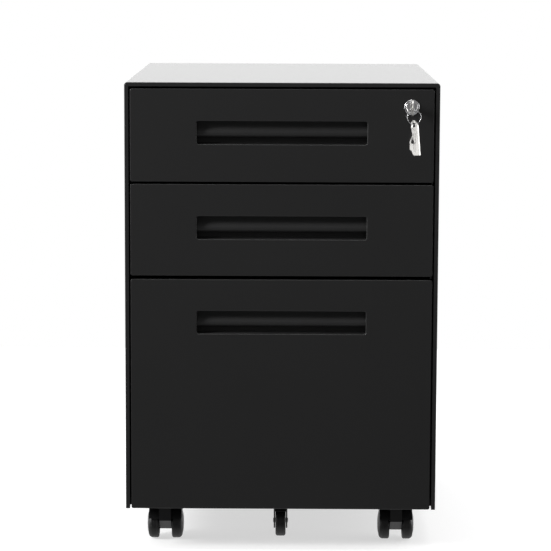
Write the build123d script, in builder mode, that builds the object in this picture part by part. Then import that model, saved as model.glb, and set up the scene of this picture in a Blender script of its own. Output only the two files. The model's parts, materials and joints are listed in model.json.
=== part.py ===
"""Rolling pedestal cabinet: a wrapped steel body on four twin-wheel casters, with two box drawers,
one file drawer that carries its own anti-tip wheel, and a cam lock that works a locking bar.

Frame: millimetres, +Z up, the drawers open towards -Y, and +X is the right-hand side seen from
the front. The origin is on the floor, at the middle of the whole object's box.
Places along the depth are given as distances behind the front face and turned into Y by at().
"""
import os

from build123d import *

# ---- Whole object ----------------------------------------------------------------------------
WIDTH = 390.0
DEPTH = 500.0
HEIGHT = 590.0
BODY_BOTTOM = 53.0
KEY_REACH = 28.0
FRONT = -(DEPTH - KEY_REACH) / 2

# ---- Body sheet metal ------------------------------------------------------------------------
SHEET = 1.2
BODY_CORNER = 4.0
FRONT_EDGE = 5.0
FRONT_LIP = 12.0
REAR_RECESS = 6.0
REAR_FLANGE = 14.0
BOTTOM_FLANGE = 12.0
HEM_WIDTH = 1.2
RIB_HEIGHTS = (170.0, 270.0, 370.0, 470.0)
RIB_SIZE = (280.0, 10.0)
SCREW_HOLE_R = 1.6
SCREW_R = 1.5
SCREW_HEAD = (3.2, 2.0)
UPRIGHT_STARTS = (60.0, 420.0)
UPRIGHT_WIDTH = 35.0
INNER_X = WIDTH / 2 - SHEET

# ---- Drawer fronts: bottom and top of each, from the top drawer down -------------------------
FRONT_HEIGHTS = {1: (467.0, 582.3), 2: (349.5, 464.1), 3: (53.0, 345.1)}
DRAWER_WIDTH = 376.0
DRAWER_THICK = 20.0
DRAWER_CORNER = 2.5
FACE_ROUND = 1.1

# ---- Trays: bottom, height and the height of the slide's centre line -------------------------
TRAY_SHEET = 1.0
TRAY_X = 172.0
TRAY_END = 480.0
TRAYS = {1: (473.0, 72.0, 499.0), 2: (355.5, 72.0, 381.5), 3: (68.0, 232.0, 200.0)}
CATCH_ABOVE_SLIDE = 36.0
CATCH_HEIGHT = 8.0
RAIL_X = 157.0
RAIL_SHEET = 1.5
RAIL_DROP = 7.5
RAIL_RISE = 4.0

# ---- Telescopic slides -----------------------------------------------------------------------
SLIDE_START = 40.0
SLIDE_LENGTH = 450.0
SLIDE_OUTER_X = TRAY_X + 12.7
SLIDE_OUTER_HALF = 22.5
SLIDE_MID_HALF = 18.3
SLIDE_INNER_HALF = 15.0

# ---- Recessed handles ------------------------------------------------------------------------
HANDLE_WIDTH = 211.0
HANDLE_HEIGHT = 28.5
HANDLE_BELOW_TOP = 40.0
HANDLE_CORNER = 2.5
HANDLE_WALL = 2.0
HANDLE_BACK = 18.6
HANDLE_FLANGE = 8.0
ROLLED_EDGE = 4.0
ROLL_ROUND = 1.4

# ---- Lock, key and key ring ------------------------------------------------------------------
LOCK_X = 160.0
LOCK_Z = 560.4
BARREL_R = 9.0
PLUG_R = 6.0
RUNNING_GAP = 0.08
BEZEL_REACH = 2.5
CAM_DEPTH = 25.6
CAM_LENGTH = 25.0
CAM_HALF = 5.0
BOW_R = 10.5
BOW_THICK = 2.0
BOW_SLOT = (12.3, 4.6)
BOW_SLOT_RISE = 1.15
RING_R = 8.2
RING_WIRE_R = 0.7
RING_X = LOCK_X + 2.0
RING_Z = LOCK_Z - 11.2
SPARE_TURN = 50.0
SPARE_THICK = 1.6
EYE_R = 3.0
EYE_DROP = 1.2

# ---- Locking bar: 10 mm of lift --------------------------------------------------------------
BAR_X = 187.0
BAR_THICK = 1.5
BAR_DEPTH = (30.0, 42.0)
BAR_LIFT = 10.0
HOOK_ABOVE_SLIDE = 24.5
GUIDE_HEIGHTS = (130.0, 320.0, 470.0)

# ---- Base and casters ------------------------------------------------------------------------
PAN_Z = BODY_BOTTOM + SHEET
PLATE_THICK = 3.0
CASTER_X = 148.0
STEM_FROM_END = 49.0
STEM_R = 4.0
TRAIL = 16.0
WHEEL_R = 20.0
AXLE_R = 3.0
WHEEL_GAP_HALF = 8.25
WHEEL_OUT = 23.25
HUB_R = 4.5
HOOD_R = 22.7
CASTER_TOP = 51.4

# ---- Anti-tip wheel under the file drawer ----------------------------------------------------
TIP_DEPTH = 65.0
TIP_CLEARANCE = 3.0
TIP_HALF_WIDTH = 6.5
TIP_FORK_HALF = 8.8
TIP_FORK_WALL = 1.9

os.makedirs("parts", exist_ok=True)


def at(depth):
    """Y of a place that lies this far behind the front face."""
    return FRONT + depth


def across(depth):
    """Plane facing forwards at this depth, with X and Z as its own two axes."""
    return Plane.XZ.offset(-at(depth))


def block(x, depth, z, mode=Mode.ADD):
    """Box in the part being built, from its extents in X, in depth and in Z."""
    spans = (x, (at(depth[0]), at(depth[1])), z)
    with Locations(tuple((low + high) / 2 for low, high in spans)):
        Box(*(high - low for low, high in spans), mode=mode)


def rod(radius, x, y, z, axis, mode=Mode.ADD):
    """Cylinder in the part being built: one of x, y, z is its extent, the other two its centre."""
    turn = {"x": (0, 90, 0), "y": (90, 0, 0), "z": (0, 0, 0)}[axis]
    span = {"x": x, "y": y, "z": z}[axis]
    middle = (span[0] + span[1]) / 2
    centre = {"x": (middle, y, z), "y": (x, middle, z), "z": (x, y, middle)}[axis]
    with Locations(centre):
        Cylinder(radius, span[1] - span[0], rotation=turn, mode=mode)


def wrap_section(outer_inset, inner_inset):
    """Upside-down U in the sketch being drawn, between two insets from the body's outside."""
    for inset, mode, extra in ((outer_inset, Mode.ADD, 20), (inner_inset, Mode.SUBTRACT, 60)):
        top = HEIGHT - inset
        low = BODY_BOTTOM - extra
        with Locations((0, (top + low) / 2)):
            RectangleRounded(WIDTH - 2 * inset, top - low, max(BODY_CORNER - inset, 1.0), mode=mode)
    with Locations((0, BODY_BOTTOM - 50)):
        Rectangle(WIDTH + 10, 100, mode=Mode.SUBTRACT)


def write(piece, name):
    """Label a finished piece and write its file."""
    piece.part.label = name
    export_step(piece.part, f"parts/{name}.step")


# ==== Body ====================================================================================
def make_outer_shell():
    """Top and both sides in one bent sheet, hemmed at the front and flanged at back and bottom."""
    bands = (
        (0.0, DEPTH, 0.0, SHEET),
        (0.0, SHEET, 0.0, FRONT_EDGE),
        (0.0, FRONT_LIP, FRONT_EDGE - SHEET, FRONT_EDGE),
        (DEPTH - REAR_RECESS - SHEET, DEPTH - REAR_RECESS, 0.0, REAR_FLANGE),
    )
    with BuildPart() as shell:
        for start, end, outer_inset, inner_inset in bands:
            with BuildSketch(across(start)):
                wrap_section(outer_inset, inner_inset)
            extrude(amount=start - end)
        for side in (-1, 1):
            x = sorted((side * INNER_X, side * (INNER_X - BOTTOM_FLANGE)))
            block(x, (DRAWER_THICK + 1, DEPTH - REAR_RECESS), (BODY_BOTTOM, BODY_BOTTOM + SHEET))
        rear = DEPTH - REAR_RECESS
        for x, z in screw_places():
            rod(SCREW_HOLE_R, x, (at(rear - 3), at(rear + 1)), z, "y", Mode.SUBTRACT)
        front_face = shell.faces().sort_by(Axis.Y)[0]
        fillet(front_face.edges().filter_by(on_outline), radius=FACE_ROUND)
    write(shell, "outer_shell")


def on_outline(edge):
    """True for an edge of the front rim that lies on the body's outside."""
    middle = edge.center()
    return abs(middle.X) > WIDTH / 2 - 1.5 or middle.Z > HEIGHT - 1.5


def screw_places():
    """X and Z of the eight screws that hold the back panel."""
    edge_x = INNER_X - REAR_FLANGE / 2
    places = [(side * edge_x, z) for side in (-1, 1) for z in (90.0, 320.0, 550.0)]
    return places + [(side * 70.0, HEIGHT - SHEET - REAR_FLANGE / 2) for side in (-1, 1)]


def make_back_panel():
    """Flat panel set into the back, with a rearward flange all round and four ribs."""
    face = DEPTH - REAR_RECESS
    gap = 0.2
    width = 2 * (INNER_X - gap)
    low = BODY_BOTTOM + gap
    high = HEIGHT - SHEET - gap
    with BuildPart() as panel:
        with BuildSketch(across(face)):
            with Locations((0, (low + high) / 2)):
                RectangleRounded(width, high - low, BODY_CORNER - SHEET)
        extrude(amount=-(REAR_RECESS - 0.5))
        with BuildSketch(across(face + SHEET)):
            with Locations((0, (low + high) / 2)):
                Rectangle(width - 2 * SHEET, high - low - 2 * SHEET)
        extrude(amount=-REAR_RECESS, mode=Mode.SUBTRACT)
        rib_width, rib_height = RIB_SIZE
        for z in RIB_HEIGHTS:
            span_z = (z - rib_height / 2, z + rib_height / 2)
            block((-rib_width / 2, rib_width / 2), (face + SHEET, face + 2 * SHEET), span_z)
        for x, z in screw_places():
            rod(SCREW_HOLE_R, x, (at(face) - 1, at(face) + 3), z, "y", Mode.SUBTRACT)
    write(panel, "back_panel")


def make_back_screws():
    """Eight cross-recessed pan-head screws through the back panel."""
    seat = DEPTH - REAR_RECESS + SHEET
    head_r, head_height = SCREW_HEAD
    crown = seat + head_height
    with BuildPart() as screws:
        for x, z in screw_places():
            rod(SCREW_R, x, (at(seat - 9), at(seat)), z, "y")
            rod(head_r, x, (at(seat), at(crown)), z, "y")
        rims = screws.edges().filter_by_position(Axis.Y, at(crown - 0.1), at(crown + 0.1))
        fillet(rims, radius=1.2)
        for x, z in screw_places():
            for width, height in ((3.2, 0.8), (0.8, 3.2)):
                span_x = (x - width / 2, x + width / 2)
                span_z = (z - height / 2, z + height / 2)
                block(span_x, (crown - 1.1, crown + 0.1), span_z, Mode.SUBTRACT)
    write(screws, "back_screws")


def stem_places():
    """X and depth of the four caster stems, named by corner."""
    back = DEPTH - STEM_FROM_END
    return {
        "front_left": (-CASTER_X, STEM_FROM_END),
        "front_right": (CASTER_X, STEM_FROM_END),
        "rear_left": (-CASTER_X, back),
        "rear_right": (CASTER_X, back),
    }


def make_base_pan():
    """Floor of the body: a pan with upturned edges, open at the front for the anti-tip fork."""
    start = DRAWER_THICK + 2
    end = DEPTH - REAR_RECESS - SHEET
    top = PAN_Z + SHEET
    with BuildPart() as pan:
        block((-INNER_X, INNER_X), (start, end), (PAN_Z, top))
        for side in (-1, 1):
            x = sorted((side * INNER_X, side * (INNER_X - SHEET)))
            block(x, (start, end), (PAN_Z, PAN_Z + 12))
        block((-INNER_X, INNER_X), (start, start + SHEET), (PAN_Z, PAN_Z + 8))
        block((-INNER_X, INNER_X), (end - SHEET, end), (PAN_Z, PAN_Z + 12))
        block((-30, 30), (start - 1, start + 80), (PAN_Z - 1, PAN_Z + 20), Mode.SUBTRACT)
        for x, depth in stem_places().values():
            rod(STEM_R + 0.1, x, at(depth), (PAN_Z - 1, top + 1), "z", Mode.SUBTRACT)
    write(pan, "base_pan")


def make_caster_plates():
    """Four welded plates that spread each stem's load into the pan."""
    low = PAN_Z + SHEET
    with BuildPart() as plates:
        for x, depth in stem_places().values():
            block((x - 25, x + 25), (depth - 25, depth + 25), (low, low + PLATE_THICK))
            rod(STEM_R + 0.1, x, at(depth), (low - 1, low + PLATE_THICK + 1), "z", Mode.SUBTRACT)
    write(plates, "caster_plates")


def make_caster_stems():
    """Four stems, each with a shoulder under the pan and a hexagon nut above the plate."""
    nut_low = PAN_Z + SHEET + PLATE_THICK
    with BuildPart() as stems:
        for x, depth in stem_places().values():
            rod(STEM_R, x, at(depth), (30.5, nut_low + 6.5), "z")
            rod(8.0, x, at(depth), (CASTER_TOP + 0.4, PAN_Z), "z")
            with BuildSketch(Plane.XY.offset(nut_low)):
                with Locations((x, at(depth))):
                    RegularPolygon(6.5, 6, major_radius=False)
            extrude(amount=5.0)
    write(stems, "caster_stems")


def make_uprights():
    """Four channel posts inside the sides, to which the slides are fixed."""
    low = PAN_Z + 12.5
    high = HEIGHT - 6
    with BuildPart() as uprights:
        for start in UPRIGHT_STARTS:
            end = start + UPRIGHT_WIDTH
            block((SLIDE_OUTER_X, INNER_X), (start, end), (low, high))
            inside = (start + SHEET, end - SHEET)
            block((SLIDE_OUTER_X + SHEET, INNER_X + 1), inside, (low - 1, high + 1), Mode.SUBTRACT)
        mirror(about=Plane.YZ)
    write(uprights, "slide_uprights")


def make_lock_bar_guides():
    """Three guides on the right side, in which the locking bar runs."""
    near, far = BAR_DEPTH
    gap = 0.5
    with BuildPart() as guides:
        for z in GUIDE_HEIGHTS:
            block((BAR_X - 1.4, INNER_X), (near - 2, far + 2), (z - 6, z + 6))
            slot_x = (BAR_X - gap, BAR_X + BAR_THICK + gap)
            block(slot_x, (near - gap, far + gap), (z - 7, z + 7), Mode.SUBTRACT)
    write(guides, "lock_bar_guides")


def make_lock_bar():
    """Vertical bar with one hook for each drawer and the tab that the lock's cam lifts."""
    tab_low = LOCK_Z + CAM_HALF + 0.8 - BAR_LIFT
    with BuildPart() as bar:
        block((BAR_X, BAR_X + BAR_THICK), BAR_DEPTH, (85.0, tab_low + 4))
        for _, _, slide_z in TRAYS.values():
            low = slide_z + HOOK_ABOVE_SLIDE
            block((174.5, BAR_X), (BAR_DEPTH[0], BAR_DEPTH[0] + 4), (low, low + 8))
        block((176.0, BAR_X + BAR_THICK), (CAM_DEPTH - 0.8, BAR_DEPTH[1]), (tab_low, tab_low + 4))
    write(bar, "lock_bar")


# ==== Slides ==================================================================================
def make_slide_member(name, start, z, x, half_height, wall, web_outside):
    """Left and right members of one drawer's slides: a channel whose web is outside or inside."""
    low, high = x
    hollow = (low - 1, high - wall) if web_outside else (low + wall, high + 1)
    with BuildPart() as member:
        with BuildSketch(across(start)):
            with Locations(((low + high) / 2, z)):
                Rectangle(high - low, 2 * half_height)
            with Locations((sum(hollow) / 2, z)):
                Rectangle(hollow[1] - hollow[0], 2 * (half_height - wall), mode=Mode.SUBTRACT)
        extrude(amount=-SLIDE_LENGTH)
        mirror(about=Plane.YZ)
    write(member, name)


def make_slides(number, z):
    """Three members a side: fixed to the uprights, floating, and fixed to the tray."""
    outer_x = (TRAY_X + 1.7, SLIDE_OUTER_X)
    middle_x = (TRAY_X + 3.5, SLIDE_OUTER_X - 2.4)
    inner_x = (TRAY_X, TRAY_X + 7.8)
    make_slide_member(f"slide_outer_{number}", SLIDE_START, z, outer_x, SLIDE_OUTER_HALF, 1.2, True)
    make_slide_member(f"slide_middle_{number}", SLIDE_START, z, middle_x, SLIDE_MID_HALF, 1.0, True)
    make_slide_member(f"slide_inner_{number}", SLIDE_START, z, inner_x, SLIDE_INNER_HALF, 1.2, False)


# ==== Drawers =================================================================================
def make_drawer_front(number, low, high):
    """Pan-shaped front with a rolled-edge cut-out for the handle, and a lock hole in the top one."""
    middle = (low + high) / 2
    handle_z = high - HANDLE_BELOW_TOP - HANDLE_HEIGHT / 2
    with BuildPart() as front:
        with BuildSketch(across(0)):
            with Locations((0, middle)):
                RectangleRounded(DRAWER_WIDTH, high - low, DRAWER_CORNER)
        extrude(amount=-DRAWER_THICK)
        fillet(front.faces().sort_by(Axis.Y)[0].edges(), radius=FACE_ROUND)
        with BuildSketch(across(SHEET)):
            with Locations((0, middle)):
                inner_width = DRAWER_WIDTH - 2 * SHEET
                RectangleRounded(inner_width, high - low - 2 * SHEET, DRAWER_CORNER - SHEET)
        extrude(amount=-DRAWER_THICK, mode=Mode.SUBTRACT)
        with BuildSketch(across(SHEET)):
            with Locations((0, handle_z)):
                rim = 2 * ROLLED_EDGE
                RectangleRounded(HANDLE_WIDTH + rim, HANDLE_HEIGHT + rim, HANDLE_CORNER + 3)
        extrude(amount=SHEET - ROLLED_EDGE)
        with BuildSketch(across(-1)):
            with Locations((0, handle_z)):
                RectangleRounded(HANDLE_WIDTH, HANDLE_HEIGHT, HANDLE_CORNER)
        extrude(amount=-ROLLED_EDGE - 2, mode=Mode.SUBTRACT)
        fillet(front.faces().sort_by(Axis.Y)[0].inner_wires()[0].edges(), radius=ROLL_ROUND)
        if number == 1:
            rod(BARREL_R + 0.1, LOCK_X, (at(-1), at(SHEET + 1)), LOCK_Z, "y", Mode.SUBTRACT)
    write(front, f"drawer_{number}_front")


def make_drawer_liner(number, low, high):
    """Flat inner skin that closes the back of the drawer front."""
    inset = SHEET + 0.2
    with BuildPart() as liner:
        with BuildSketch(across(DRAWER_THICK - SHEET)):
            with Locations((0, (low + high) / 2)):
                Rectangle(DRAWER_WIDTH - 2 * inset, high - low - 2 * inset)
        extrude(amount=-SHEET)
        fillet(liner.edges().filter_by(Axis.Y), radius=1.2)
        if number == 1:
            hole = (at(DRAWER_THICK - 2), at(DRAWER_THICK + 1))
            rod(BARREL_R + 0.1, LOCK_X, hole, LOCK_Z, "y", Mode.SUBTRACT)
    write(liner, f"drawer_{number}_liner")


def make_handle(number, top):
    """Moulded handle: a scoop that swells forward into a rounded grip, with a finger groove under it."""
    half = HANDLE_WIDTH / 2
    bottom = top - HANDLE_HEIGHT

    def point(depth, below_top):
        return at(depth), top - below_top

    with BuildPart() as handle:
        walls = (bottom - HANDLE_WALL, top + HANDLE_WALL)
        block((-half - HANDLE_WALL, half + HANDLE_WALL), (ROLLED_EDGE, HANDLE_BACK), walls)
        flange_x = half + HANDLE_FLANGE
        flange_z = (bottom - HANDLE_FLANGE + 1, top + HANDLE_FLANGE - 1)
        block((-flange_x, flange_x), (ROLLED_EDGE, ROLLED_EDGE + 1.5), flange_z)
        with BuildSketch(Plane.YZ):
            with BuildLine():
                Line(point(3, 0), point(11.25, 0))
                scoop = JernArc(point(11.25, 0), (-0.122, -0.993), 20, -25)
                slope = Line(scoop @ 1, point(5.84, 12.2))
                nose = JernArc(slope @ 1, slope % 1, 5.5, 107)
                Polyline(
                    nose @ 1, point(11.4, 20.2), point(12.4, 15.4), point(16.8, 14.8),
                    point(16.8, 27.3), point(15.6, HANDLE_HEIGHT), point(3, HANDLE_HEIGHT), point(3, 0),
                )
            make_face()
        extrude(amount=half, both=True, mode=Mode.SUBTRACT)
        hollow = (top - 12.4, top)
        block((-half, half), (13.0, HANDLE_BACK + 1), hollow, Mode.SUBTRACT)
    write(handle, f"drawer_{number}_handle")


def make_tray(number, low, height, slide_z):
    """Bottom and sides in one bent sheet with hemmed top edges, and the catch for the locking bar."""
    top = low + height
    start = DRAWER_THICK
    with BuildPart() as tray:
        block((-TRAY_X, TRAY_X), (start, TRAY_END), (low, top))
        inside_x = TRAY_X - TRAY_SHEET
        inside = (low + TRAY_SHEET, top + 1)
        block((-inside_x, inside_x), (start - 1, TRAY_END + 1), inside, Mode.SUBTRACT)
        for side in (-1, 1):
            hem_x = sorted((side * inside_x, side * (inside_x - HEM_WIDTH)))
            block(hem_x, (start, TRAY_END), (top - 9, top))
        catch_low = slide_z + CATCH_ABOVE_SLIDE
        catch_x = (TRAY_X, TRAY_X + 10)
        block(catch_x, (36, 38), (catch_low, catch_low + CATCH_HEIGHT))
        if number == 1:
            block((165, 173), (start - 1, 31), (528, top + 1), Mode.SUBTRACT)
    write(tray, f"drawer_{number}_tray")


def make_tray_back(number, low, height):
    """Back wall of a tray, with forward flanges welded to its sides and bottom."""
    half = TRAY_X - TRAY_SHEET - HEM_WIDTH - 0.2
    bottom = low + TRAY_SHEET
    top = low + height - 4
    with BuildPart() as back:
        block((-half, half), (TRAY_END - 12, TRAY_END - 1), (bottom, top))
        inner = half - TRAY_SHEET
        hollow = (bottom + TRAY_SHEET, top + 1)
        block((-inner, inner), (TRAY_END - 13, TRAY_END - 2), hollow, Mode.SUBTRACT)
    write(back, f"drawer_{number}_back")


def make_file_rails(tray_top):
    """Two rails over the file drawer's sides, on which hanging folders slide."""
    inside_x = TRAY_X - 2.4
    length = (DRAWER_THICK + 4, TRAY_END - 14)
    shelf = tray_top - RAIL_DROP
    with BuildPart() as rails:
        block((RAIL_X, inside_x), length, (shelf, shelf + RAIL_SHEET))
        block((RAIL_X, RAIL_X + RAIL_SHEET), length, (shelf, tray_top + RAIL_RISE))
        mirror(about=Plane.YZ)
    write(rails, "file_rails")


# ==== Lock and keys ===========================================================================
def make_lock_housing():
    """Barrel through the drawer front, with a stepped and rounded bezel and a bore for the plug."""
    with BuildPart() as housing:
        rod(BARREL_R, LOCK_X, (at(-0.5), at(25)), LOCK_Z, "y")
        rod(9.5, LOCK_X, (at(-1.6), at(0)), LOCK_Z, "y")
        rod(7.6, LOCK_X, (at(-BEZEL_REACH), at(0)), LOCK_Z, "y")
        fillet(housing.faces().sort_by(Axis.Y)[0].edges(), radius=0.7)
        rim = housing.edges().filter_by_position(Axis.Y, at(-1.65), at(-1.55)).sort_by(Edge.length)[-1]
        fillet(rim, radius=0.9)
        rod(PLUG_R + RUNNING_GAP, LOCK_X, (at(-5), at(30)), LOCK_Z, "y", Mode.SUBTRACT)
    write(housing, "lock_housing")


def make_lock_nut():
    """Hexagon nut that clamps the lock housing behind the drawer's inner skin."""
    with BuildPart() as nut:
        with BuildSketch(across(DRAWER_THICK)):
            with Locations((LOCK_X, LOCK_Z)):
                RegularPolygon(10.9, 6, major_radius=False)
                Circle(BARREL_R + 0.1, mode=Mode.SUBTRACT)
        extrude(amount=-4.0)
    write(nut, "lock_nut")


def make_lock_plug():
    """Turning plug with a key slot, its tail carrying the cam."""
    with BuildPart() as plug:
        rod(PLUG_R, LOCK_X, (at(-BEZEL_REACH + 0.5), at(CAM_DEPTH - 0.3)), LOCK_Z, "y")
        rod(4.0, LOCK_X, (at(10), at(CAM_DEPTH + 2.0)), LOCK_Z, "y")
        rod(2.5, LOCK_X, (at(10), at(CAM_DEPTH + 5.0)), LOCK_Z, "y")
        slot_x = (LOCK_X - 0.75, LOCK_X + 0.75)
        block(slot_x, (-BEZEL_REACH, 20), (LOCK_Z - 4.0, LOCK_Z + 4.0), Mode.SUBTRACT)
    write(plug, "lock_plug")


def make_lock_cam():
    """Flat cam on the plug's tail: it hangs down when unlocked and turns to the right to lock."""
    with BuildPart() as cam:
        with BuildSketch(across(CAM_DEPTH)):
            with Locations((LOCK_X, LOCK_Z)):
                Circle(8.0)
            with Locations((LOCK_X, LOCK_Z - CAM_LENGTH / 2)):
                Rectangle(2 * CAM_HALF, CAM_LENGTH)
            with Locations((LOCK_X, LOCK_Z)):
                Circle(4.0, mode=Mode.SUBTRACT)
        extrude(amount=-2.0)
    write(cam, "lock_cam")


def make_key():
    """Flat key standing in the lock, its round bow edge-on to the front, with a long slot."""
    bow_y = at(-KEY_REACH + BOW_R)
    with BuildPart() as key:
        with BuildSketch(Plane.YZ.offset(LOCK_X - BOW_THICK / 2)):
            with Locations((bow_y, LOCK_Z)):
                Circle(BOW_R)
            with Locations(((bow_y + at(-BEZEL_REACH)) / 2 + 2, LOCK_Z)):
                Rectangle(abs(bow_y - at(-BEZEL_REACH)) - 5, 7.6)
            with Locations((bow_y, LOCK_Z + BOW_SLOT_RISE)):
                SlotOverall(*BOW_SLOT, rotation=90, mode=Mode.SUBTRACT)
        extrude(amount=BOW_THICK)
        fillet(key.edges().filter_by(GeomType.CIRCLE).group_by(Edge.length)[-1], radius=0.5)
        block((LOCK_X - 0.6, LOCK_X + 0.6), (-6, 18), (LOCK_Z - 3.7, LOCK_Z + 3.7))
    write(key, "key")


def make_key_ring():
    """Wire ring hanging from the key's bow, facing forwards."""
    with BuildPart() as ring:
        with Locations((RING_X, at(-KEY_REACH + BOW_R), RING_Z)):
            Torus(RING_R, RING_WIRE_R, rotation=(90, 0, 0))
    write(ring, "key_ring")


def make_spare_key():
    """Spare key hanging from the ring, turned aside so that the ring can pass through its eye."""
    eye = Plane(
        origin=(RING_X, at(-KEY_REACH + BOW_R), RING_Z - RING_R - EYE_DROP),
        x_dir=Vector(1, 0, 0).rotate(Axis.Z, -SPARE_TURN),
        z_dir=Vector(0, -1, 0).rotate(Axis.Z, -SPARE_TURN),
    )
    with BuildPart() as spare:
        with BuildSketch(eye.offset(-SPARE_THICK / 2)):
            with BuildLine():
                Polyline(
                    (-3.8, 3.5), (-1.2, 5.8), (0.8, 6.0), (3.8, 3.9), (7.0, 0.1), (11.4, -36.5),
                    (0.5, -37.3), (-3.4, -31.4), (-6.1, -31.0), (-6.7, -20.9), (-1.8, -12.5),
                    (-4.8, -3.3), (-3.8, 3.5),
                )
            make_face()
            Circle(EYE_R, mode=Mode.SUBTRACT)
            with BuildLine():
                Polyline((-2.2, -15.9), (0.8, -22.2), (-5.1, -22.2), (-2.2, -15.9))
            make_face(mode=Mode.SUBTRACT)
        extrude(amount=SPARE_THICK)
    write(spare, "spare_key")


# ==== Casters =================================================================================
def make_caster(corner, x, depth):
    """One twin-wheel caster trailing towards the back: swivelling yoke, axle and two wheels."""
    stem_y = at(depth)
    axle_y = stem_y + TRAIL
    with BuildPart() as yoke:
        with BuildSketch(Plane.YZ.offset(x)) as side_view:
            with Locations((axle_y, WHEEL_R)):
                Circle(8.5)
            with Locations((axle_y, WHEEL_R + 13)):
                Circle(HOOD_R - 13)
            with Locations((stem_y, (27 + CASTER_TOP - 6) / 2)):
                Rectangle(15, CASTER_TOP - 6 - 27)
            make_hull()
        extrude(amount=7.5, both=True)
        with BuildSketch(Plane.YZ.offset(x)):
            with Locations((axle_y, WHEEL_R)):
                Circle(HOOD_R)
                Circle(HOOD_R - 1.5, mode=Mode.SUBTRACT)
            with Locations((axle_y, WHEEL_R + 9 - HOOD_R)):
                Rectangle(4 * HOOD_R, 2 * HOOD_R, mode=Mode.SUBTRACT)
        extrude(amount=21.0, both=True)
        rod(7.5, x, stem_y, (28, CASTER_TOP), "z")
        rod(STEM_R + RUNNING_GAP, x, stem_y, (30, CASTER_TOP + 1), "z", Mode.SUBTRACT)
        rod(AXLE_R, (x - 30, x + 30), axle_y, WHEEL_R, "x", Mode.SUBTRACT)
    write(yoke, f"caster_{corner}_yoke")

    with BuildPart() as axle:
        rod(AXLE_R, (x - 18.5, x + 18.5), axle_y, WHEEL_R, "x")
    write(axle, f"caster_{corner}_axle")

    for side, word in ((-1, "left"), (1, "right")):
        make_caster_wheel(f"caster_{corner}_wheel_{word}", x, axle_y, side)


def make_caster_wheel(name, x, axle_y, side):
    """Wheel with a flat tread rounded into a domed outer face, blind-bored for the axle."""
    plane = Plane(origin=(x, axle_y, WHEEL_R), x_dir=(side, 0, 0), z_dir=(0, -side, 0))
    with BuildPart() as wheel:
        with BuildSketch(plane):
            with BuildLine():
                Polyline(
                    (19.0, 0), (19.0, AXLE_R + RUNNING_GAP), (WHEEL_GAP_HALF, AXLE_R + RUNNING_GAP),
                    (WHEEL_GAP_HALF, 17.5),
                )
                ThreePointArc((WHEEL_GAP_HALF, 17.5), (9.2, 19.3), (11.0, WHEEL_R))
                Line((11.0, WHEEL_R), (16.5, WHEEL_R))
                ThreePointArc((16.5, WHEEL_R), (20.2, 18.3), (21.8, 14.5))
                ThreePointArc((21.8, 14.5), (22.8, 9.5), (WHEEL_OUT, HUB_R))
                Polyline((WHEEL_OUT, HUB_R), (WHEEL_OUT, 0), (19.0, 0))
            make_face()
        revolve(axis=Axis((x, axle_y, WHEEL_R), (1, 0, 0)))
    write(wheel, name)


# ==== Anti-tip wheel ==========================================================================
def make_anti_tip_set(tray_low):
    """Fork under the file drawer, with its axle and its wheel held just clear of the floor."""
    axle_y = at(TIP_DEPTH)
    axle_z = WHEEL_R + TIP_CLEARANCE
    with BuildPart() as fork:
        with BuildSketch(Plane.YZ):
            with Locations((axle_y, axle_z)):
                Circle(10.0)
            with Locations((axle_y, (48 + tray_low) / 2)):
                Rectangle(44, tray_low - 48)
            make_hull()
        extrude(amount=TIP_FORK_HALF, both=True)
        gap = TIP_FORK_HALF - TIP_FORK_WALL
        web_back = TIP_DEPTH - 22 + 2
        block((-gap, gap), (web_back, 100), (0, tray_low - TIP_FORK_WALL), Mode.SUBTRACT)
        block((-gap, gap), (30, web_back + 1), (0, 40), Mode.SUBTRACT)
        rod(AXLE_R, (-20, 20), axle_y, axle_z, "x", Mode.SUBTRACT)
    write(fork, "anti_tip_fork")

    with BuildPart() as axle:
        rod(AXLE_R, (-TIP_FORK_HALF - 0.8, TIP_FORK_HALF + 0.8), axle_y, axle_z, "x")
    write(axle, "anti_tip_axle")

    with BuildPart() as wheel:
        rod(WHEEL_R, (-TIP_HALF_WIDTH, TIP_HALF_WIDTH), axle_y, axle_z, "x")
        fillet(wheel.edges().filter_by(GeomType.CIRCLE), radius=3.0)
        rod(AXLE_R + RUNNING_GAP, (-10, 10), axle_y, axle_z, "x", Mode.SUBTRACT)
    write(wheel, "anti_tip_wheel")


# ==== Assembly ================================================================================
make_outer_shell()
make_back_panel()
make_back_screws()
make_base_pan()
make_caster_plates()
make_caster_stems()
make_uprights()
make_lock_bar_guides()
make_lock_bar()

for drawer, (front_low, front_high) in FRONT_HEIGHTS.items():
    tray_bottom, tray_height, slide_height = TRAYS[drawer]
    make_drawer_front(drawer, front_low, front_high)
    make_drawer_liner(drawer, front_low, front_high)
    make_handle(drawer, front_high - HANDLE_BELOW_TOP)
    make_tray(drawer, tray_bottom, tray_height, slide_height)
    make_tray_back(drawer, tray_bottom, tray_height)
    make_slides(drawer, slide_height)

make_file_rails(TRAYS[3][0] + TRAYS[3][1])
make_anti_tip_set(TRAYS[3][0])

make_lock_housing()
make_lock_nut()
make_lock_plug()
make_lock_cam()
make_key()
make_key_ring()
make_spare_key()

for corner_name, (stem_x, stem_depth) in stem_places().items():
    make_caster(corner_name, stem_x, stem_depth)
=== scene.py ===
"""Rolling pedestal cabinet: materials, detailed pieces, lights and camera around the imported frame.

Everything is in metres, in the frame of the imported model: +Z up, the drawers open towards -Y.
"""
import json
import math

import bmesh
import bpy
from mathutils import Matrix, Vector


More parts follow.
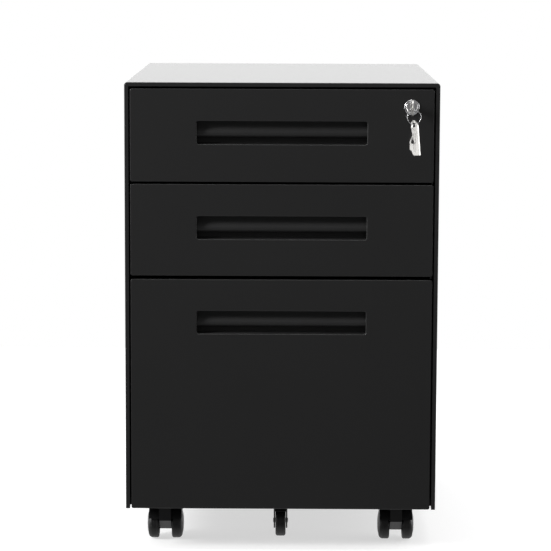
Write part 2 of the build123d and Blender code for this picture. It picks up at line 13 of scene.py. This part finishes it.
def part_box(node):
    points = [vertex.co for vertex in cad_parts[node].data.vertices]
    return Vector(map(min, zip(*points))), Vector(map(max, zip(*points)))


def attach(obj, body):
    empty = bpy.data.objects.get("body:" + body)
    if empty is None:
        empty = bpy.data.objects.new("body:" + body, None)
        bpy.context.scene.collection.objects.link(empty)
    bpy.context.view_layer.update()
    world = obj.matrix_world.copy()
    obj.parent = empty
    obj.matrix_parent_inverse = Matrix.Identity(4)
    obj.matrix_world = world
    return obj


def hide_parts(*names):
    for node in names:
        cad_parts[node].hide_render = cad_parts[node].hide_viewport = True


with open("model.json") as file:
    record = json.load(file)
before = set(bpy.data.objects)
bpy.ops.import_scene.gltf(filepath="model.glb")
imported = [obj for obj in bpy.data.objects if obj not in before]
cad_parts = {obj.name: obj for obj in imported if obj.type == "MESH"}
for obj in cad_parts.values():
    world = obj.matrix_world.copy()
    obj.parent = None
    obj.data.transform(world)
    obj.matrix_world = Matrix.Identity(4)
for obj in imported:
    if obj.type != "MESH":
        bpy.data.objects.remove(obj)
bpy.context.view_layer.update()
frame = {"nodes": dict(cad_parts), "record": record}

MM = 0.001
WELD_GAP = 0.01 * MM
SHARP_ANGLE = 32.0

# ---- Spare key: its turn in degrees, its sizes in millimetres ------------------------------------
SPARE_TURN = 50.0
SPARE_HALF_THICK = 0.8
EYE_BELOW_TOP = 6.0
BLADE_GROOVES = ((0.6, 2.0, 24.0), (3.4, 6.0, 22.0))
BLADE_GROOVE_SIZE = (1.1, 0.7)
BLADE_HOLE = ((-2.3, -14.4), (2.3, -23.0), (-5.3, -23.0))

# ---- Bow of the key in the lock, in millimetres --------------------------------------------------
DISH_INNER_R = 4.3
DISH_DEPTH = 0.22
BOW_RIM = 1.5

# ---- Key ring: a wire wound nearly twice -------------------------------------------------------
RING_TURNS = 1.9
RING_START = math.radians(140)
RING_STEPS = 220
RING_WIRE_SIDES = 10
RING_WIRE_SHARE = 0.27
RING_CROSSING = 0.18
RING_END_TAPER = 0.72

# ---- Caster and anti-tip wheels, in millimetres -------------------------------------------------
TREAD_R = 19.99
TREAD_GROOVES = (12.0, 13.9, 15.8)
CASTER_CORNERS = ("front_left", "front_right", "rear_left", "rear_right")

# ---- Slide ball rows, in millimetres ------------------------------------------------------------
BALL_R = 1.45
BALL_COUNT = 15
BALL_ROW_LENGTH = 150.0
BALL_ROW_START = 8.0

# ---- Photograph's camera ---------------------------------------------------------------------
CAMERA_PLACE = (0.0099, -3.1786, 0.7526)
CAMERA_YAW = math.radians(0.336)
CAMERA_PITCH = math.radians(7.783)
CAMERA_ROLL = math.radians(0.216)
CAMERA_LENS = 155.86

# ---- Light levels ------------------------------------------------------------------------------
BACKDROP_LEVEL = 1.62
STUDIO_FRONT_LEVEL = 0.20
STUDIO_TOP_LEVEL = 0.45
STUDIO_LOW_LEVEL = 0.60

# ---- Softboxes: name, place, target, width and height in metres, power in watts ------------------
SOFTBOXES = (
    ("key_light", (-2.5, -1.25, 1.7), (0, -0.2, 0.35), 0.7, 0.9, 70),
    ("left_strip", (-2.2, -0.55, 0.8), (0, -0.2, 0.35), 0.9, 1.6, 12),
    ("right_strip", (2.2, -0.35, 0.8), (0, -0.2, 0.35), 0.9, 1.6, 14),
    ("overhead", (0, -0.35, 2.6), (0, -0.25, 0.4), 1.4, 0.6, 14),
)

# ---- Floor, in metres ----------------------------------------------------------------------------
FLOOR_SIDE = 2.6
FLOOR_DROP = 0.0005
FLOOR_TONE = 0.50
FLOOR_GLOW = 0.60


# ==== Node helpers ============================================================================
def add_node(tree, kind, inputs=None, **settings):
    """Node of this kind with its settings and its unlinked input values."""
    node = tree.nodes.new(kind)
    for name, value in settings.items():
        setattr(node, name, value)
    for name, value in (inputs or {}).items():
        if isinstance(value, bpy.types.NodeSocket):
            tree.links.new(value, node.inputs[name])
        else:
            node.inputs[name].default_value = value
    return node


def start_material(name):
    """Empty material with a Principled shader wired to its output."""
    material = bpy.data.materials.new(name)
    material.use_nodes = True
    tree = material.node_tree
    tree.nodes.clear()
    output = add_node(tree, "ShaderNodeOutputMaterial")
    shader = add_node(tree, "ShaderNodeBsdfPrincipled")
    tree.links.new(shader.outputs["BSDF"], output.inputs["Surface"])
    return material, tree, shader


def object_points(tree):
    """Socket of the object's own coordinates, in metres."""
    return add_node(tree, "ShaderNodeTexCoord").outputs["Object"]


def noise(tree, points, grain, detail=2.0, roughness=0.5):
    """Noise factor whose blotches are about this many metres across."""
    settings = {"Vector": points, "Scale": 1 / grain, "Detail": detail, "Roughness": roughness}
    return add_node(tree, "ShaderNodeTexNoise", settings).outputs["Fac"]


def spread(tree, factor, low, high, start=0.3, end=0.7):
    """Factor mapped from start..end on to low..high."""
    settings = {"Value": factor, "From Min": start, "From Max": end, "To Min": low, "To Max": high}
    return add_node(tree, "ShaderNodeMapRange", settings).outputs["Result"]


def two_tones(tree, factor, first, second):
    """Colour that varies between two tones with the factor."""
    mix = add_node(tree, "ShaderNodeMix", data_type="RGBA")
    tree.links.new(factor, mix.inputs["Factor"])
    mix.inputs["A"].default_value = (*first, 1)
    mix.inputs["B"].default_value = (*second, 1)
    return mix.outputs["Result"]


def bump(tree, height, distance, strength=1.0, under=None):
    """Normal of a relief that is this many metres deep, laid over another one."""
    settings = {"Height": height, "Distance": distance, "Strength": strength}
    if under is not None:
        settings["Normal"] = under
    return add_node(tree, "ShaderNodeBump", settings).outputs["Normal"]


# ==== Materials ===============================================================================
def powder_coat():
    """Semi-matte black powder coat: fine orange peel with a slightly uneven gloss."""
    material, tree, shader = start_material("powder_coat")
    points = object_points(tree)
    peel = noise(tree, points, 2.2 * MM, detail=1.0)
    grain = noise(tree, points, 0.45 * MM, detail=2.0)
    cloud = noise(tree, points, 90 * MM, detail=3.0)
    relief = bump(tree, peel, 0.030 * MM, 0.55)
    relief = bump(tree, grain, 0.012 * MM, 0.5, relief)
    colour = two_tones(tree, cloud, (0.0235, 0.0235, 0.0237), (0.0260, 0.0260, 0.0262))
    tree.links.new(colour, shader.inputs["Base Color"])
    tree.links.new(spread(tree, grain, 0.20, 0.27), shader.inputs["Roughness"])
    tree.links.new(relief, shader.inputs["Normal"])
    shader.inputs["IOR"].default_value = 1.40
    return material


def moulded_plastic(name, dark, light, rough, grain_size, depth, index):
    """Black moulded plastic with a fine spark-eroded grain."""
    material, tree, shader = start_material(name)
    points = object_points(tree)
    grain = noise(tree, points, grain_size, detail=2.0)
    flow = noise(tree, points, 14 * MM, detail=3.0)
    tree.links.new(two_tones(tree, flow, dark, light), shader.inputs["Base Color"])
    tree.links.new(spread(tree, grain, rough[0], rough[1]), shader.inputs["Roughness"])
    tree.links.new(bump(tree, grain, depth, 0.6), shader.inputs["Normal"])
    shader.inputs["IOR"].default_value = index
    return material


def plated_metal(name, dark, light, rough, scratch_depth, stretch):
    """Plated metal: fine scratches along one way, and a patchy gloss."""
    material, tree, shader = start_material(name)
    points = object_points(tree)
    stretched = add_node(tree, "ShaderNodeMapping", {"Vector": points, "Scale": stretch})
    scratches = noise(tree, stretched.outputs["Vector"], 0.5 * MM, detail=3.0, roughness=0.7)
    patches = noise(tree, points, 9 * MM, detail=4.0)
    tree.links.new(two_tones(tree, patches, dark, light), shader.inputs["Base Color"])
    tree.links.new(spread(tree, patches, rough[0], rough[1]), shader.inputs["Roughness"])
    tree.links.new(bump(tree, scratches, scratch_depth, 0.6), shader.inputs["Normal"])
    shader.inputs["Metallic"].default_value = 1.0
    return material


def worn_tread():
    """Nylon wheel: satin dome, with fine scuffs and dust on it."""
    material, tree, shader = start_material("wheel_nylon")
    points = object_points(tree)
    grain = noise(tree, points, 0.5 * MM, detail=2.0)
    dust = noise(tree, points, 5 * MM, detail=5.0, roughness=0.65)
    tree.links.new(two_tones(tree, spread(tree, dust, 0.0, 1.0, 0.45, 0.8),
                             (0.012, 0.012, 0.0125), (0.030, 0.029, 0.028)),
                   shader.inputs["Base Color"])
    tree.links.new(spread(tree, dust, 0.30, 0.52), shader.inputs["Roughness"])
    tree.links.new(bump(tree, grain, 0.010 * MM, 0.6), shader.inputs["Normal"])
    return material


MATERIALS = {
    "powder_coat": powder_coat(),
    "handle_plastic": moulded_plastic("handle_plastic", (0.030, 0.030, 0.0303), (0.035, 0.035, 0.0353),
                                      (0.38, 0.50), 0.35 * MM, 0.012 * MM, 1.30),
    "caster_nylon": moulded_plastic("caster_nylon", (0.010, 0.010, 0.0105), (0.014, 0.014, 0.0145),
                                    (0.30, 0.42), 0.5 * MM, 0.012 * MM, 1.46),
    "wheel_nylon": worn_tread(),
    "zinc_steel": plated_metal(
        "zinc_steel", (0.46, 0.47, 0.49), (0.60, 0.61, 0.62), (0.26, 0.40), 0.010 * MM, (1, 0.04, 1)),
    "chrome": plated_metal(
        "chrome", (0.80, 0.80, 0.81), (0.88, 0.88, 0.89), (0.05, 0.11), 0.002 * MM, (1, 1, 1)),
    "key_nickel": plated_metal(
        "key_nickel", (0.50, 0.49, 0.475), (0.60, 0.59, 0.57), (0.22, 0.36), 0.006 * MM, (1, 1, 0.05)),
}


# ==== Mesh helpers ============================================================================
def new_piece(name, mesh, body, material_slot, *nodes):
    """Object for a finished mesh, riding on a body, with its material, standing for CAD nodes."""
    piece = bpy.data.objects.new(name, mesh)
    bpy.context.scene.collection.objects.link(piece)
    mesh.materials.append(MATERIALS[material_slot])
    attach(piece, body)
    if nodes:
        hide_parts(*nodes)
    return piece


def soften(piece, width):
    """Rounds a piece's sharp edges a little and keeps its flat faces flat."""
    weld = piece.modifiers.new("weld", "WELD")
    weld.merge_threshold = WELD_GAP
    bevel = piece.modifiers.new("edges", "BEVEL")
    bevel.width = width
    bevel.segments = 2
    bevel.limit_method = "ANGLE"
    bevel.angle_limit = math.radians(SHARP_ANGLE)
    bevel.use_clamp_overlap = True
    piece.modifiers.new("shading", "WEIGHTED_NORMAL")


def dress_cad_nodes():
    """Gives each CAD node its slot's material and slightly rounded edges."""
    slots = {part["node"]: part["material_slot"] for part in frame["record"]["subparts"]}
    for name, node in frame["nodes"].items():
        node.data.materials.clear()
        node.data.materials.append(MATERIALS[slots[name]])
        soften(node, 0.25 * MM)


def arc(start, middle, end, count):
    """Points on the circle through three points of a profile, from the first to the last."""
    (ax, ay), (bx, by), (cx, cy) = start, middle, end
    scale = 2 * (ax * (by - cy) + bx * (cy - ay) + cx * (ay - by))
    squares = [x * x + y * y for x, y in (start, middle, end)]
    mx = (squares[0] * (by - cy) + squares[1] * (cy - ay) + squares[2] * (ay - by)) / scale
    my = (squares[0] * (cx - bx) + squares[1] * (ax - cx) + squares[2] * (bx - ax)) / scale
    radius = math.hypot(ax - mx, ay - my)
    first, mid, last = (math.atan2(y - my, x - mx) for x, y in (start, middle, end))
    turn = (last - first) % math.tau
    if (mid - first) % math.tau > turn:
        turn -= math.tau
    angles = [first + turn * step / count for step in range(count + 1)]
    return [(mx + radius * math.cos(a), my + radius * math.sin(a)) for a in angles]


def groove(place, half_width, depth, radius):
    """Profile points of a small round-bottomed groove in a rim of this radius, centred at a place."""
    lip = 0.6 * half_width
    return [(place - half_width, radius), (place - lip, radius - depth), (place + lip, radius - depth),
            (place + half_width, radius)]


def lathe(name, profile, centre, direction, segments=96):
    """Mesh turned from a closed profile of (distance along the axis, radius) points, in millimetres."""
    along = Vector(direction).normalized()
    across = along.orthogonal().normalized()
    third = along.cross(across)
    form = bmesh.new()
    rings = []
    for distance, radius in profile:
        if radius < 1e-6:
            rings.append([form.verts.new(Vector(centre) + along * distance * MM)])
            continue
        angles = [math.tau * step / segments for step in range(segments)]
        spokes = [across * math.cos(a) + third * math.sin(a) for a in angles]
        rings.append([form.verts.new(Vector(centre) + along * distance * MM + spoke * radius * MM)
                      for spoke in spokes])
    for first, second in zip(rings, rings[1:] + rings[:1]):
        if len(first) == 1 and len(second) == 1:
            continue
        for step in range(segments):
            after = (step + 1) % segments
            corners = [first[step % len(first)], first[after % len(first)],
                       second[after % len(second)], second[step % len(second)]]
            form.faces.new(list(dict.fromkeys(corners)))
    return finish_mesh(name, form)


def finish_mesh(name, form, sharp=SHARP_ANGLE):
    """Mesh from an edited form, its normals outwards, smooth except over its sharp edges."""
    bmesh.ops.recalc_face_normals(form, faces=form.faces)
    mesh = bpy.data.meshes.new(name)
    form.to_mesh(mesh)
    form.free()
    mesh.shade_smooth()
    mesh.set_sharp_from_angle(angle=math.radians(sharp))
    return mesh


def middle_of(node):
    """Middle of a CAD node's box at rest."""
    node_low, node_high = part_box(node)
    return (Vector(node_low) + Vector(node_high)) / 2


# ==== Detailed pieces =========================================================================
def caster_wheel_profile():
    """Twin wheel's section: bored hub, dished inner side, grooved tread, domed face with a hub cap."""
    bore = [(19.0, 0), (19.0, 3.08), (8.25, 3.08)]
    dish = [(8.25, 6.2), (8.6, 6.6), (10.4, 6.9), (10.4, 14.6), (8.7, 15.1), (8.25, 15.5)]
    tread = arc((8.25, 17.5), (8.9, 19.1), (10.6, TREAD_R), 6)
    for place in TREAD_GROOVES:
        tread += groove(place, 0.32, 0.28, TREAD_R)
    shoulder = arc((16.9, TREAD_R), (20.2, 18.25), (21.75, 14.5), 10)
    face = [(21.85, 14.2), (21.55, 13.9), (21.6, 13.4), (22.05, 13.1)]
    dome = arc((22.1, 12.9), (22.75, 9.9), (23.05, 7.2), 6)
    cap = [(23.05, 6.9), (22.7, 6.6), (22.7, 6.2), (23.0, 5.9)]
    cap += arc((23.1, 5.6), (23.22, 3.4), (23.25, 0.8), 5)
    return bore + dish + tread + shoulder + face + dome + cap + [(23.25, 0)]


def make_caster_wheels():
    """Eight detailed wheels in place of the plain ones."""
    profile = caster_wheel_profile()
    for corner in CASTER_CORNERS:
        centre = middle_of(f"caster_{corner}_axle")
        for side, word in ((-1, "left"), (1, "right")):
            node = f"caster_{corner}_wheel_{word}"
            new_piece(f"{node}_turned", lathe(node, profile, centre, (side, 0, 0)), node, "wheel_nylon", node)


def make_anti_tip_wheel():
    """Fifth wheel: crowned tread with two grooves, dished sides and a raised hub."""
    half = groove(2.2, 0.35, 0.3, 20.0) + arc((3.6, 20.0), (5.6, 19.1), (6.5, 17.0), 6)
    half += [(6.5, 15.6), (6.2, 15.2), (5.1, 14.8), (5.1, 7.6), (6.1, 7.0), (6.5, 6.6), (6.5, 3.08)]
    mirrored = [(-distance, radius) for distance, radius in reversed(half)]
    mesh = lathe("anti_tip_wheel", mirrored + half, middle_of("anti_tip_wheel"), (1, 0, 0))
    new_piece("anti_tip_wheel_turned", mesh, "anti_tip_wheel", "wheel_nylon", "anti_tip_wheel")


def make_anti_tip_hood():
    """Arched hood over the fifth wheel, closing the fork in front, above and behind."""
    axle = middle_of("anti_tip_wheel")
    outer = arc((-16.1, 15.7), (0, 22.5), (18.4, 13.0), 20)
    inner = arc((17.0, 11.9), (0, 20.75), (-14.9, 14.4), 20)
    outline = [(y * MM, z * MM) for y, z in outer + inner]
    mesh = prism("anti_tip_hood", outline, axle, (0, 1, 0), (0, 0, 1), 17.3 * MM)
    piece = new_piece("anti_tip_hood", mesh, "drawer_3", "caster_nylon")
    soften(piece, 0.4 * MM)


def make_lock_bezel():
    """Chrome bezel with a stepped, rounded rim and a bored barrel, in place of the plain housing."""
    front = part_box("drawer_1_front")[0][1]
    place = middle_of("lock_housing")
    rim = arc((-0.7, 9.5), (-1.35, 9.25), (-1.6, 8.6), 6)
    step = [(-1.6, 8.2), (-1.3, 7.95), (-1.35, 7.65), (-1.7, 7.55)]
    lip = arc((-2.0, 7.5), (-2.4, 7.25), (-2.5, 6.9), 5) + [(-2.5, 6.7), (-2.25, 6.35), (-1.9, 6.08)]
    profile = [(25.0, 6.08), (25.0, 9.0), (0.0, 9.0), (0.0, 9.5)] + rim + step + lip
    mesh = lathe("lock_bezel", profile, (place.x, front, place.z), (0, 1, 0), 128)
    new_piece("lock_bezel", mesh, "drawer_1", "chrome", "lock_housing")


def make_split_ring():
    """Split key ring: a wire wound twice, each turn beside the other, with both ends stepping over."""
    ring_low, ring_high = (Vector(corner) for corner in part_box("key_ring"))
    centre = (ring_low + ring_high) / 2
    width = ring_high.y - ring_low.y
    wire = RING_WIRE_SHARE * width
    outer = (ring_high.x - ring_low.x) / 2
    radius = outer - wire
    form = bmesh.new()
    rings = []
    for step in range(RING_STEPS + 1):
        share = step / RING_STEPS
        angle = RING_START + RING_TURNS * math.tau * share
        lean = max(-1.0, min(1.0, (share - 0.5) * 2 / RING_CROSSING))
        shift = lean * (width / 2 - wire)
        way = Vector((math.cos(angle), 0, math.sin(angle)))
        thick = wire * (RING_END_TAPER if step in (0, RING_STEPS) else 1.0)
        loop = []
        for side in range(RING_WIRE_SIDES):
            around = math.tau * side / RING_WIRE_SIDES
            offset = way * math.cos(around) * thick + Vector((0, math.sin(around) * thick, 0))
            loop.append(form.verts.new(centre + way * radius + Vector((0, shift, 0)) + offset))
        rings.append(loop)
    for first, second in zip(rings, rings[1:]):
        for side in range(RING_WIRE_SIDES):
            after = (side + 1) % RING_WIRE_SIDES
            form.faces.new((first[side], first[after], second[after], second[side]))
    form.faces.new(rings[0])
    form.faces.new(rings[-1])
    new_piece("split_ring", finish_mesh("split_ring", form, 50), "key_ring", "chrome", "key_ring")


def cut_copy(name, node, cutters):
    """Mesh of a CAD node's copy with closed cutter meshes taken out of it."""
    work = bpy.data.objects.new(name, frame["nodes"][node].data.copy())
    bpy.context.scene.collection.objects.link(work)
    work.data.materials.clear()
    weld = work.modifiers.new("weld", "WELD")
    weld.merge_threshold = WELD_GAP
    tools = []
    for number, mesh in enumerate(cutters):
        tool = bpy.data.objects.new(f"{name}_cutter_{number}", mesh)
        bpy.context.scene.collection.objects.link(tool)
        tools.append(tool)
        cut = work.modifiers.new(f"cut_{number}", "BOOLEAN")
        cut.operation = "DIFFERENCE"
        cut.solver = "EXACT"
        cut.object = tool
    graph = bpy.context.evaluated_depsgraph_get()
    result = bpy.data.meshes.new_from_object(work.evaluated_get(graph))
    result.name = name
    for spare in [work, *tools]:
        bpy.data.objects.remove(spare)
    return result


def prism(name, outline, place, x_dir, y_dir, length):
    """Closed mesh of an outline's points, given along x_dir and y_dir, drawn out both ways from a place."""
    x_dir, y_dir = Vector(x_dir).normalized(), Vector(y_dir).normalized()
    way = x_dir.cross(y_dir) * length / 2
    form = bmesh.new()
    ends = []
    for end in (-1, 1):
        ends.append([form.verts.new(Vector(place) + x_dir * x + y_dir * y + way * end) for x, y in outline])
    for number in range(len(outline)):
        after = (number + 1) % len(outline)
        form.faces.new((ends[0][number], ends[0][after], ends[1][after], ends[1][number]))
    form.faces.new(ends[0])
    form.faces.new(ends[1])
    bmesh.ops.recalc_face_normals(form, faces=form.faces)
    mesh = bpy.data.meshes.new(name)
    form.to_mesh(mesh)
    form.free()
    return mesh


def eight_sides(width, thick):
    """Outline of a bar with cut corners, this wide and this thick."""
    width, thick = width / 2, thick / 2
    corner = 0.6 * min(width, thick)
    quarter = [(width, thick - corner), (width - corner, thick)]
    left = [(-x, y) for x, y in reversed(quarter)]
    return quarter + left + [(-x, -y) for x, y in quarter] + [(-x, -y) for x, y in left]


def make_spare_key():
    """Spare key with milled grooves along both faces of its blade and softly rounded edges."""
    turn = math.radians(SPARE_TURN)
    x_dir = Vector((math.cos(turn), -math.sin(turn), 0))
    outward = Vector((-math.sin(turn), -math.cos(turn), 0))
    key_low, key_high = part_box("spare_key")
    ring_middle = middle_of("key_ring")
    middle = Vector((ring_middle.x, ring_middle.y, (key_low[2] + key_high[2]) / 2))
    cutters = []
    for face in (-1, 1):
        for across, down, long in BLADE_GROOVES:
            skin = outward * face * SPARE_HALF_THICK * MM
            place = middle + x_dir * across * MM + skin - Vector((0, 0, down * MM))
            section = eight_sides(*(size * MM for size in BLADE_GROOVE_SIZE))
            cutters.append(prism("groove", section, place, x_dir, outward, long * MM))
    eye = Vector((ring_middle.x, ring_middle.y, key_high[2] - EYE_BELOW_TOP * MM))
    hole = [(x * MM, z * MM) for x, z in BLADE_HOLE]
    cutters.append(prism("hole", hole, eye, x_dir, (0, 0, 1), 6 * MM))
    mesh = cut_copy("spare_key_milled", "spare_key", cutters)
    piece = new_piece("spare_key_milled", mesh, "spare_key", "key_nickel", "spare_key")
    soften(piece, 0.14 * MM)


def make_key():
    """Key in the lock: its bow has dished faces inside a raised rim, and its edges are rounded."""
    key_low, key_high = (Vector(corner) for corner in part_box("key"))
    radius = (key_high.z - key_low.z) / 2
    half = (key_high.x - key_low.x) / 2
    centre = Vector(((key_low.x + key_high.x) / 2, key_low.y + radius, (key_low.z + key_high.z) / 2))
    cutters = []
    inner, outer = DISH_INNER_R, radius / MM - BOW_RIM
    for side in (-1, 1):
        start, end = half / MM - DISH_DEPTH, half / MM + 0.4
        dish = [(start, inner), (end, inner), (end, outer), (start, outer)]
        cutters.append(lathe("dish", dish, centre, (side, 0, 0), 64))
    mesh = cut_copy("key_milled", "key", cutters)
    piece = new_piece("key_milled", mesh, "lock_cylinder", "key_nickel", "key")
    soften(piece, 0.12 * MM)


def make_ball_rows(number):
    """Ball cages of one drawer's slides: pressed strips with rows of steel balls, above and below."""
    cage_low = Vector(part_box(f"slide_middle_{number}")[0])
    inner_low, inner_high = (Vector(corner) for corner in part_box(f"slide_inner_{number}"))
    form = bmesh.new()
    ball = BALL_R * MM
    length = BALL_ROW_LENGTH * MM
    start = cage_low.y + BALL_ROW_START * MM
    for side in (-1, 1):
        x = side * (inner_high.x - 2.1 * MM)
        for z in (inner_high.z + ball + 0.1 * MM, inner_low.z - ball - 0.1 * MM):
            for step in range(BALL_COUNT):
                place = Vector((x, start + (step + 0.5) * length / BALL_COUNT, z))
                spot = Matrix.Translation(place)
                bmesh.ops.create_icosphere(form, subdivisions=2, radius=ball, matrix=spot)
            strip = prism("strip", eight_sides(0.45 * MM, 2.6 * MM),
                          (x + side * 1.75 * MM, start + length / 2, z), (1, 0, 0), (0, 0, 1), length)
            form.from_mesh(strip)
            bpy.data.meshes.remove(strip)
    mesh = finish_mesh(f"slide_balls_{number}", form)
    new_piece(f"slide_balls_{number}", mesh, f"slide_middle_{number}", "zinc_steel")


# ==== Camera and light ========================================================================
def make_camera():
    """Camera where the photograph was taken from."""
    camera = bpy.data.objects.new("camera", bpy.data.cameras.new("camera"))
    bpy.context.scene.collection.objects.link(camera)
    camera.data.lens = CAMERA_LENS
    camera.data.sensor_width = 36.0
    camera.data.clip_end = 100.0
    turn = (
        Matrix.Rotation(CAMERA_YAW, 4, "Z")
        @ Matrix.Rotation(math.radians(90) - CAMERA_PITCH, 4, "X")
        @ Matrix.Rotation(CAMERA_ROLL, 4, "Z")
    )
    camera.matrix_world = Matrix.Translation(CAMERA_PLACE) @ turn
    bpy.context.scene.camera = camera


def make_floor():
    """Plain pale floor with a faint glow, so its shadows stay light. It lights nothing else."""
    material, _, shader = start_material("pale_floor")
    shader.inputs["Base Color"].default_value = (FLOOR_TONE, FLOOR_TONE, FLOOR_TONE, 1.0)
    shader.inputs["Roughness"].default_value = 1.0
    shader.inputs["Specular IOR Level"].default_value = 0.0
    shader.inputs["Emission Color"].default_value = (1.0, 1.0, 1.0, 1.0)
    shader.inputs["Emission Strength"].default_value = FLOOR_GLOW
    half = FLOOR_SIDE / 2
    corners = [(-half, -half), (half, -half), (half, half), (-half, half)]
    mesh = bpy.data.meshes.new("floor")
    mesh.from_pydata([(x, y, -FLOOR_DROP) for x, y in corners], [], [(0, 1, 2, 3)])
    mesh.materials.append(material)
    floor = bpy.data.objects.new("floor", mesh)
    bpy.context.scene.collection.objects.link(floor)
    floor.visible_diffuse = False
    floor.visible_glossy = False
    floor.visible_transmission = False
    floor.visible_shadow = False


def make_world():
    """White backdrop behind, a dim studio in front, a glow from below, and plain white to the eye."""
    world = bpy.data.worlds.new("studio")
    world.use_nodes = True
    tree = world.node_tree
    tree.nodes.clear()
    way = add_node(tree, "ShaderNodeTexCoord").outputs["Generated"]
    parts = add_node(tree, "ShaderNodeSeparateXYZ", {"Vector": way})
    behind = spread(tree, parts.outputs["Y"], STUDIO_FRONT_LEVEL, BACKDROP_LEVEL, -0.35, 0.25)
    above = spread(tree, parts.outputs["Z"], 0.0, STUDIO_TOP_LEVEL, 0.35, 1.0)
    below = spread(tree, parts.outputs["Z"], STUDIO_LOW_LEVEL, 0.0, -0.80, -0.30)
    ends = add_node(tree, "ShaderNodeMath", operation="MAXIMUM")
    tree.links.new(above, ends.inputs[0])
    tree.links.new(below, ends.inputs[1])
    fade = spread(tree, parts.outputs["Z"], 0.2, 1.0, -0.30, -0.02)
    backdrop = add_node(tree, "ShaderNodeMath", operation="MULTIPLY")
    tree.links.new(behind, backdrop.inputs[0])
    tree.links.new(fade, backdrop.inputs[1])
    level = add_node(tree, "ShaderNodeMath", operation="MAXIMUM")
    tree.links.new(backdrop.outputs["Value"], level.inputs[0])
    tree.links.new(ends.outputs["Value"], level.inputs[1])
    studio = add_node(tree, "ShaderNodeBackground", {"Color": (1, 1, 1, 1)})
    tree.links.new(level.outputs["Value"], studio.inputs["Strength"])
    seen = add_node(tree, "ShaderNodeBackground", {"Color": (1, 1, 1, 1), "Strength": 1.0})
    eye = add_node(tree, "ShaderNodeLightPath").outputs["Is Camera Ray"]
    mix = add_node(tree, "ShaderNodeMixShader", {"Fac": eye})
    tree.links.new(studio.outputs["Background"], mix.inputs[1])
    tree.links.new(seen.outputs["Background"], mix.inputs[2])
    output = add_node(tree, "ShaderNodeOutputWorld")
    tree.links.new(mix.outputs["Shader"], output.inputs["Surface"])
    bpy.context.scene.world = world


def make_softbox(name, place, target, width, height, power):
    """Large soft light aimed at a point."""
    light = bpy.data.lights.new(name, "AREA")
    light.shape = "RECTANGLE"
    light.size = width
    light.size_y = height
    light.energy = power
    holder = bpy.data.objects.new(name, light)
    bpy.context.scene.collection.objects.link(holder)
    holder.location = place
    holder.rotation_euler = (Vector(target) - Vector(place)).to_track_quat("-Z", "Y").to_euler()


dress_cad_nodes()
make_caster_wheels()
make_anti_tip_wheel()
make_anti_tip_hood()
make_lock_bezel()
make_split_ring()
make_spare_key()
make_key()
for drawer in (1, 2, 3):
    make_ball_rows(drawer)
make_camera()
make_floor()
make_world()
for softbox in SOFTBOXES:
    make_softbox(*softbox)

bpy.context.scene.view_settings.view_transform = "Standard"
